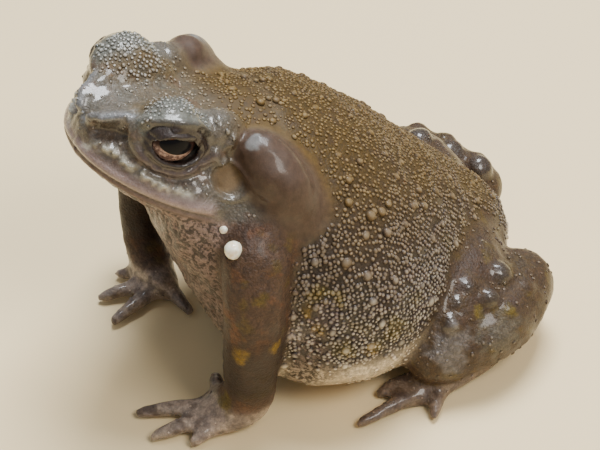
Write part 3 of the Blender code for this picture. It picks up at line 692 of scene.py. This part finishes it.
def noise_of(tree, place, size, detail=2, roughness=0.5):
    """Noise from 0 to 1 with features of this size in millimetres."""
    values = {"Vector": place, "Scale": 1 / (size * MM), "Detail": detail, "Roughness": roughness}
    return draw(tree, "ShaderNodeTexNoise", None, values)


def soft_step(tree, value, low, high):
    settings = {"interpolation_type": "SMOOTHSTEP"}
    return draw(tree, "ShaderNodeMapRange", settings, {"Value": value, "From Min": low, "From Max": high})


def mixed(tree, factor, first, second):
    values = {"Factor": factor, "A": first, "B": second}
    return draw(tree, "ShaderNodeMix", {"data_type": "RGBA"}, values, "Result")


def scaled(tree, colour, amount):
    return draw(tree, "ShaderNodeVectorMath", {"operation": "SCALE"}, {"Vector": colour, "Scale": amount})


def written(tree, name, output="Fac"):
    """A value or colour that the piece's mesh carries."""
    return draw(tree, "ShaderNodeAttribute", {"attribute_name": name}, (), output)


def bare_material(name):
    """A new material and its empty tree of nodes."""
    material = bpy.data.materials.new(name)
    material.use_nodes = True
    material.node_tree.nodes.clear()
    return material, material.node_tree


def surfaced(tree, values):
    """Finishes a material with a shader that has these values and links."""
    surface = draw(tree, "ShaderNodeBsdfPrincipled", None, values)
    draw(tree, "ShaderNodeOutputMaterial", None, {"Surface": surface})


def hide_material(name, raised):
    """Wet toad hide; raised is for grains and warts, whose tips are paler, partly in their own colour and
    partly as painted light, and whose feet are darkened with painted shade.
    """
    material, tree = bare_material(name)
    place = draw(tree, "ShaderNodeTexCoord", None, (), "Object")
    wet, pebble = written(tree, "wet"), written(tree, "pebble")
    fine, medium, broad = (noise_of(tree, place, size) for size in (0.35, 1.6, 6))
    cells = draw(tree, "ShaderNodeTexVoronoi", {"feature": "F1"}, {"Vector": place, "Scale": 1 / (0.75 * MM)})
    marks = noise_of(tree, place, 1.5, 3, 0.6)
    colour = mixed(
        tree,
        0.85 * (written(tree, "mottle") * soft_step(tree, marks, 0.46, 0.54)),
        written(tree, "hide", "Color"),
        (*DARK, 1),
    )
    shade = (0.55 + 0.9 * medium) * (0.72 + 0.56 * fine)
    if raised:
        tip, tone = written(tree, "tip"), written(tree, "tone")
        # Painted light on the grains: the tips lit towards their paler colour, the feet darkened with painted
        # shade.
        lit = soft_step(tree, tip, 0.35, 1.0) * (0.35 + 0.65 * tone)
        colour = mixed(tree, lit, colour, written(tree, "tips", "Color"))
        shade = shade * (0.3 + 0.8 * soft_step(tree, tip, 0, 0.6))
    else:
        # Painted shade: darker between the hide's small pebbles and in the pits between its grains.
        between = pebble * soft_step(tree, cells, 0.35, 0.75)
        shade = shade * (1 - 0.55 * between) * (1 - written(tree, "pit"))
    colour = scaled(tree, colour, shade)
    furrows = ((marks - 0.5) ** 2) ** 0.5
    height = 0.045 * MM * fine + 0.05 * MM * medium + 1.6 * MM * (written(tree, "crinkle") * furrows)
    if not raised:
        height = height + 0.16 * MM * (pebble * soft_step(tree, 0.7 - cells, 0, 0.6))
    bump = draw(tree, "ShaderNodeBump", None, {"Strength": 1.0, "Distance": 1.0, "Height": height})
    film = soft_step(tree, broad + 0.35 * wet, 0.45, 0.85)
    finish = {
        "Base Color": colour,
        "Roughness": 0.62 - 0.26 * (wet * film) + 0.14 * (medium - 0.5),
        "Coat Weight": wet * (0.25 + 0.75 * film),
        "Specular IOR Level": 0.3,
        "Coat Roughness": 0.14,
        "Coat IOR": 1.46,
        "Normal": bump,
        "Subsurface Weight": 0.06,
        "Subsurface Radius": (0.0012, 0.0005, 0.0003),
        "Subsurface Scale": 1.0,
    }
    surfaced(tree, finish)
    return material


skin.data.materials.append(hide_material("toad hide", False))
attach(skin, "root")
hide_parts(*FLESH)

# Grains and warts.
# The hide is set all over with small raised grains, each a low dome with a foot darkened by painted shade and
# a paler, wet tip that is partly painted light.
# They grow close on the flanks, finer on the head and limbs, and with larger warts between them on the back.
# Each kind has the hide's mark for where it grows, its spacing in millimetres, its dome's sides, rings and
# rise, and its smallest and largest size as shares of the hide's own grain size.
GRAIN_KINDS = {
    "flank_grains": {
        "where": "coarse_grain",
        "spacing": 0.96,
        "dome": (7, 3, 0.64),
        "seed": 4,
        "sizes": (0.56, 1.0),
    },
    "fine_grains": {
        "where": "fine_grain",
        "spacing": 0.95,
        "dome": (7, 3, 0.55),
        "seed": 9,
        "sizes": (0.7, 1.3),
    },
    "back_warts": {
        "where": "wart",
        "spacing": 6.8,
        "dome": (10, 4, 0.6),
        "seed": 14,
        "sizes": (1.3, 1.9),
    },
}
MOST_GRAINS = 4e6
GRAIN_MATERIAL = hide_material("toad grains", True)
BAKE_PATCH = 0.003


def dome(name, sides, levels, rise):
    """A low dome of radius 1 with a flared foot below the hide, marked with its height and its plan."""
    made = bmesh.new()
    height = made.verts.layers.float.new("tip")
    plan = made.verts.layers.float_vector.new("around")
    rings = []
    for k in range(levels):
        angle = 0.5 * math.pi * k / levels
        radius, z = math.cos(angle) ** 0.8, rise * math.sin(angle)
        if k == 0:
            radius, z = 1.12, -0.3
        ring = []
        for j in range(sides):
            turn = 2 * math.pi * j / sides
            vert = made.verts.new((radius * math.cos(turn), radius * math.sin(turn), z))
            vert[height] = k / levels
            vert[plan] = (0.5 * radius * math.cos(turn), 0.5 * radius * math.sin(turn), 0)
            ring.append(vert)
        rings.append(ring)
    top = made.verts.new((0, 0, rise))
    top[height] = 1
    for below, above in zip(rings, rings[1:]):
        for j in range(sides):
            made.faces.new((below[j], below[(j + 1) % sides], above[(j + 1) % sides], above[j]))
    for j in range(sides):
        made.faces.new((rings[-1][j], rings[-1][(j + 1) % sides], top))
    return only_mesh(name, mesh_of(made, name))


def grain_tree(name, where, half):
    """Domes set on one half of the hide (1 left, -1 right), by the amount that the hide carries as where."""
    tree = bpy.data.node_groups.new(name, "GeometryNodeTree")
    tree.interface.new_socket("Hide", in_out="INPUT", socket_type="NodeSocketGeometry")
    for title, kind in (
        ("Spacing", "Float"),
        ("Smallest", "Float"),
        ("Largest", "Float"),
        ("Seed", "Int"),
        ("Dome", "Object"),
        ("Paint", "Material"),
    ):
        tree.interface.new_socket(title, in_out="INPUT", socket_type="NodeSocket" + kind)
    tree.interface.new_socket("Grains", in_out="OUTPUT", socket_type="NodeSocketGeometry")

    def node(kind, settings=None, values=(), output=0):
        return draw(tree, kind, settings, values, output)

    def carried(title, data_type="FLOAT"):
        settings = {"data_type": data_type}
        return node("GeometryNodeInputNamedAttribute", settings, {"Name": title}, "Attribute")

    def stored(geometry, title, data_type, domain, value):
        settings = {"data_type": data_type, "domain": domain}
        values = {"Geometry": geometry, "Name": title, "Value": value}
        return node("GeometryNodeStoreNamedAttribute", settings, values)

    def chance(low, high, salt):
        values = {"Min": low, "Max": high, "Seed": seed + salt}
        return node("FunctionNodeRandomValue", {"data_type": "FLOAT"}, values, "Value")

    inputs = tree.nodes.new("NodeGroupInput")
    given = {s.name: Flow(s) for s in inputs.outputs if s.name}
    seed = given["Seed"]
    position = node("GeometryNodeInputPosition")
    across = node("ShaderNodeSeparateXYZ", None, {"Vector": position}, "X")
    here = node("FunctionNodeCompare", {"operation": "GREATER_THAN"}, {"A": across * half, "B": 0.0})
    values = {"Geometry": given["Hide"], "Selection": here}
    half_hide = node("GeometryNodeSeparateGeometry", {"domain": "FACE"}, values)
    settings = {"distribute_method": "POISSON"}
    values = {
        "Mesh": half_hide,
        "Distance Min": given["Spacing"],
        "Density Max": MOST_GRAINS,
        "Density Factor": carried(where),
        "Seed": seed,
    }
    points = node("GeometryNodeDistributePointsOnFaces", settings, values, "Points")
    rotation = Flow(socket_of(points.socket.node.outputs, "Rotation"))
    points = stored(points, "root_at", "FLOAT_VECTOR", "POINT", carried("OFBake", "FLOAT_VECTOR"))
    points = node("GeometryNodeRemoveAttribute", None, {"Geometry": points, "Name": "OFBake"})
    points = stored(points, "tone", "FLOAT", "POINT", chance(0.0, 1.0, 1))
    values = {"Axis": (0, 0, 1), "Angle": chance(0.0, math.tau, 2)}
    values = {"Rotation": rotation, "Rotate By": node("FunctionNodeAxisAngleToRotation", None, values)}
    rotation = node("FunctionNodeRotateRotation", {"rotation_space": "LOCAL"}, values)
    size = carried("grain_size") * chance(given["Smallest"], given["Largest"], 3)
    long, wide, tall = chance(0.82, 1.22, 4), chance(0.82, 1.15, 5), chance(0.8, 1.2, 6)
    scale = node("ShaderNodeCombineXYZ", None, {"X": size * long, "Y": size * wide, "Z": size * tall})
    dome_shape = node("GeometryNodeObjectInfo", None, {"Object": given["Dome"]}, "Geometry")
    values = {"Points": points, "Instance": dome_shape, "Rotation": rotation, "Scale": scale}
    grains = node("GeometryNodeInstanceOnPoints", None, values)
    grains = node("GeometryNodeRealizeInstances", None, {"Geometry": grains})
    patch = node(
        "ShaderNodeVectorMath",
        {"operation": "MULTIPLY_ADD"},
        (carried("around", "FLOAT_VECTOR"), (BAKE_PATCH,) * 3, carried("root_at", "FLOAT_VECTOR")),
    )
    grains = stored(grains, "OFBake", "FLOAT2", "CORNER", patch)
    grains = node("GeometryNodeSetShadeSmooth", None, {"Geometry": grains})
    grains = node("GeometryNodeSetMaterial", None, {"Geometry": grains, "Material": given["Paint"]})
    tree.nodes.new("NodeGroupOutput")
    tree.links.new(grains.socket, tree.nodes[-1].inputs[0])
    return tree


for kind, rule in GRAIN_KINDS.items():
    shape = dome("dome", *rule["dome"])
    for word, half in SIDES:
        piece = only_mesh(kind + "_" + word, skin.data)
        growth = piece.modifiers.new("grains", "NODES")
        growth.node_group = grain_tree(piece.name, rule["where"], half)
        socket_names = {s.name: s.identifier for s in growth.node_group.interface.items_tree}
        for title, value in (
            ("Spacing", rule["spacing"] * MM),
            ("Smallest", rule["sizes"][0]),
            ("Largest", rule["sizes"][1]),
            ("Seed", rule["seed"]),
            ("Dome", shape),
            ("Paint", GRAIN_MATERIAL),
        ):
            growth[socket_names[title]] = value
        apply_modifiers(piece)
        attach(piece, "root")
    bpy.data.objects.remove(shape)

# The largest warts, each in its own place: a row of pearls behind the eyes and a scatter high on the flanks.
# Each is given as a place in millimetres and a radius.
LARGE_WARTS = (
    ((6.5, -16.0, 86.2), 1.2),
    ((4.7, -13.2, 85.4), 0.9),
    ((5.4, -11.4, 84.9), 1.1),
    ((5.6, -9.4, 84.1), 0.9),
    ((34.2, 4.2, 62.8), 1.6),
    ((32.7, 7.6, 62.0), 1.4),
    ((32.4, -1.4, 67.6), 1.3),
    ((21.5, 5.8, 70.9), 1.1),
    ((25.3, 22.6, 53.2), 1.4),
    ((26.9, 19.3, 55.9), 1.3),
    ((30.5, 10.4, 62.1), 1.1),
    ((36.5, 7.8, 57.7), 1.4),
    ((39.2, -13.9, 56.6), 1.3),
    ((29.0, 1.5, 72.5), 1.2),
)
LARGE_DOME = (16, 6, 0.85)
shape = dome("dome", *LARGE_DOME)
over = BVHTree.FromPolygons([v.co for v in skin.data.vertices], [p.vertices for p in skin.data.polygons])
carried_values = {}
for name in (*sheet, "hide", "tips"):
    kind = "color" if name in ("hide", "tips") else "value"
    flat = np.empty(len(skin.data.vertices) * (4 if kind == "color" else 1), np.float32)
    skin.data.attributes[name].data.foreach_get(kind, flat)
    carried_values[name] = flat.reshape(len(skin.data.vertices), -1)
# Each wart is a dome stood on the hide, which takes over the hide's markings at its root.
joined = bmesh.new()
bake = joined.loops.layers.uv.new("OFBake")
layers = {n: joined.verts.layers.float.new(n) for n in (*sheet, "tip", "tone")}
layers |= {n: joined.verts.layers.float_color.new(n) for n in ("hide", "tips")}
around = [Vector(item.vector[:2]) * BAKE_PATCH for item in shape.data.attributes["around"].data]
tips_of_dome = [item.value for item in shape.data.attributes["tip"].data]
other_side = [((-x, y, z), radius) for (x, y, z), radius in LARGE_WARTS]
for place, radius in (*LARGE_WARTS, *other_side):
    at, facing_here, face_index, _ = over.find_nearest(Vector(place) * MM)
    root = skin.data.polygons[face_index].vertices[0]
    stand = facing_here.to_track_quat("Z", "Y").to_matrix() * (radius * MM)
    verts = []
    for k, vert in enumerate(shape.data.vertices):
        made = joined.verts.new(at + stand @ vert.co)
        for n, layer in layers.items():
            if n == "tip":
                made[layer] = tips_of_dome[k]
            elif n == "tone":
                made[layer] = 0.5
            else:
                value = carried_values[n][root]
                made[layer] = value if n in ("hide", "tips") else float(value[0])
        verts.append(made)
    root_at = skin.data.uv_layers["OFBake"].data[skin.data.polygons[face_index].loop_start].uv
    for polygon in shape.data.polygons:
        face = joined.faces.new([verts[k] for k in polygon.vertices])
        for loop, k in zip(face.loops, polygon.vertices):
            loop[bake].uv = root_at + around[k]
bpy.data.objects.remove(shape)
mesh = mesh_of(joined, "large warts")
mesh.shade_smooth()
mesh.materials.append(GRAIN_MATERIAL)
large_warts = only_mesh("large_warts", mesh)
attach(large_warts, "root")

# Eyes.
# Two wet, clear-fronted balls, each with a level oval pupil and a coppery iris netted with dark, its upper
# part darkened with painted shade from the brow. They are set deep in their sockets and held by the lids all
# round.
EYE_SIDES, EYE_RINGS = 64, 40
PUPIL_HALF_WIDTH, PUPIL_HALF_HEIGHT, PUPIL_UP = 0.62, 0.33, 0.0
IRIS_EDGE = 0.84
eye_paint, tree = bare_material("toad eye")
look = written(tree, "look", "Vector")
parts = draw(tree, "ShaderNodeSeparateXYZ", None, {"Vector": look}, "X")
wide, tall = parts, Flow(parts.socket.node.outputs["Z"])
pupil = ((wide / PUPIL_HALF_WIDTH) ** 2 + ((tall - PUPIL_UP) / PUPIL_HALF_HEIGHT) ** 2) ** 0.5
iris = (wide**2 + tall**2) ** 0.5
net = noise_of(tree, look, 130, 6, 0.7)
copper = mixed(tree, soft_step(tree, net, 0.42, 0.6), (0.090, 0.050, 0.044, 1), (0.370, 0.250, 0.215, 1))
copper = mixed(tree, 0.5 * soft_step(tree, pupil, 1.2, 1.02), copper, (0.56, 0.37, 0.28, 1))
# Painted shade: the iris darkens over its upper part, under the brow.
copper = mixed(tree, soft_step(tree, tall, -0.34, -0.08), copper, (0.03, 0.014, 0.012, 1))
edge = soft_step(tree, iris, IRIS_EDGE - 0.12, IRIS_EDGE + 0.04)
copper = mixed(tree, edge, copper, (0.022, 0.012, 0.010, 1))
eye_colour = mixed(tree, soft_step(tree, pupil, 0.96, 1.03), (0.004, 0.004, 0.006, 1), copper)
finish = {
    "Base Color": eye_colour,
    "Roughness": 0.4,
    "Specular IOR Level": 0.05,
    "Coat Weight": 0.22,
    "Coat Roughness": 0.02,
    "Coat IOR": 1.38,
}
surfaced(tree, finish)

for word in ("left", "right"):
    ball = bmesh.new()
    bmesh.ops.create_uvsphere(ball, u_segments=EYE_SIDES, v_segments=EYE_RINGS, radius=1)
    bmesh.ops.rotate(ball, matrix=Matrix.Rotation(math.radians(90), 3, "X"), verts=ball.verts)
    look_at = ball.verts.layers.float_vector.new("look")
    for vert in ball.verts:
        vert[look_at] = vert.co
        vert.co = eye_middles[word] + Matrix(eye_frames[word]) @ vert.co * EYE_RADIUS * MM
    mesh = mesh_of(ball, "eye")
    mesh.shade_smooth()
    mesh.materials.append(eye_paint)
    eye = only_mesh("eye_ball_" + word, mesh)
    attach(eye, "root")
    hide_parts("eye_" + word)

# White warts.
# Below each corner of the mouth sit two smooth creamy warts of thick skin, one large and one small. They are
# rooted in the hide like half-sunk pearls.
PEARL_GRAIN = 0.25 * MM
pearl, tree = bare_material("white warts")
place = draw(tree, "ShaderNodeTexCoord", None, (), "Object")
cloud = noise_of(tree, place, 1.4, 3)
cream = mixed(tree, soft_step(tree, cloud, 0.35, 0.62), (0.80, 0.66, 0.46, 1), (0.95, 0.92, 0.78, 1))
dimple = draw(tree, "ShaderNodeBump", None, {"Strength": 1.0, "Distance": 1.0, "Height": 0.1 * MM * cloud})
finish = {
    "Base Color": cream,
    "Roughness": 0.38,
    "Coat Weight": 0.6,
    "Coat Roughness": 0.12,
    "Normal": dimple,
    "Subsurface Weight": 0.2,
    "Subsurface Radius": (0.002, 0.0012, 0.0007),
    "Subsurface Scale": 1.0,
}
surfaced(tree, finish)
for node_name in [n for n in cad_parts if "_wart_" in n]:
    wart = bmesh.new()
    wart.from_mesh(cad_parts[node_name].data)
    bmesh.ops.remove_doubles(wart, verts=wart.verts, dist=0.01 * MM)
    piece = only_mesh("pearl_" + node_name, mesh_of(wart, node_name))
    remesh = piece.modifiers.new("even", "REMESH")
    remesh.mode = "VOXEL"
    remesh.voxel_size = PEARL_GRAIN
    eased = piece.modifiers.new("eased", "SMOOTH")
    eased.iterations = 12
    apply_modifiers(piece)
    rows = places(piece.data)
    rows += facings(piece.data) * (0.22 + 0.14 * lumps(rows, 2.6, 41))[:, None] * MM
    put(piece.data, rows)
    piece.data.shade_smooth()
    piece.data.materials.clear()
    piece.data.materials.append(pearl)
    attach(piece, "root")
    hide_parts(node_name)

# Studio.
# A plain pale floor, a broad soft light above and behind, a smaller one before the face, and pale air. None of
# it is part of the toad, and nothing of it touches the hide but the floor.
FLOOR_SIZE = 3
FLOOR_COLOUR, FLOOR_ROUGHNESS = (0.92, 0.73, 0.42, 1), 0.75
plate = bmesh.new()
bmesh.ops.create_grid(plate, x_segments=1, y_segments=1, size=FLOOR_SIZE)
floor = only_mesh("floor", mesh_of(plate, "floor"))
plaster, tree = bare_material("pale floor")
surfaced(tree, {"Base Color": FLOOR_COLOUR, "Roughness": FLOOR_ROUGHNESS})
floor.data.materials.append(plaster)

world = bpy.data.worlds.new("studio")
bpy.context.scene.world = world
world.use_nodes = True
AIR_COLOUR, AIR_STRENGTH = (0.92, 0.96, 1.0, 1), 0.32
world.node_tree.nodes["Background"].inputs["Color"].default_value = AIR_COLOUR
world.node_tree.nodes["Background"].inputs["Strength"].default_value = AIR_STRENGTH
MIDDLE = Vector((0, 0, 0.05))
LIGHTS = (
    ("overhead", (-0.22, 0.18, 0.95), (0.42, 0.42), 17, (0.92, 0.96, 1.0)),
    ("key", (0.55, 0.25, 0.80), (0.35, 0.35), 6, (1.0, 0.95, 0.88)),
)
for name, place, size, power, colour in LIGHTS:
    lamp = bpy.data.lights.new(name, "AREA")
    lamp.shape = "RECTANGLE"
    lamp.size, lamp.size_y = size
    lamp.energy = power
    lamp.color = colour
    light = bpy.data.objects.new(name, lamp)
    bpy.context.scene.collection.objects.link(light)
    light.location = place
    light.rotation_euler = (MIDDLE - Vector(place)).to_track_quat("-Z", "Y").to_euler()

# The photograph's own view: from the toad's left and a little before it, looking down.
CAMERA_AZIMUTH, CAMERA_HEIGHT, CAMERA_ROLL = 71.2, 41.6, -1.5
CAMERA_AWAY = 0.55
CAMERA_LOOKS_AT = Vector((0.0018, -0.0049, 0.0354))
CAMERA_SENSOR, CAMERA_LENS = 36, 119.04
azimuth, height = math.radians(CAMERA_AZIMUTH), math.radians(CAMERA_HEIGHT)
back = Vector((math.sin(azimuth) * math.cos(height), -math.cos(azimuth) * math.cos(height), math.sin(height)))
right = Vector((math.cos(azimuth), math.sin(azimuth), 0))
upright = Matrix((right, back.cross(right), back)).transposed()
camera = bpy.data.objects.new("camera", bpy.data.cameras.new("camera"))
bpy.context.scene.collection.objects.link(camera)
camera.data.sensor_width = CAMERA_SENSOR
camera.data.lens = CAMERA_LENS
camera.data.clip_start = 0.01
camera.location = CAMERA_LOOKS_AT + back * CAMERA_AWAY
camera.rotation_euler = (upright @ Matrix.Rotation(math.radians(CAMERA_ROLL), 3, "Z")).to_euler()
bpy.context.scene.camera = camera
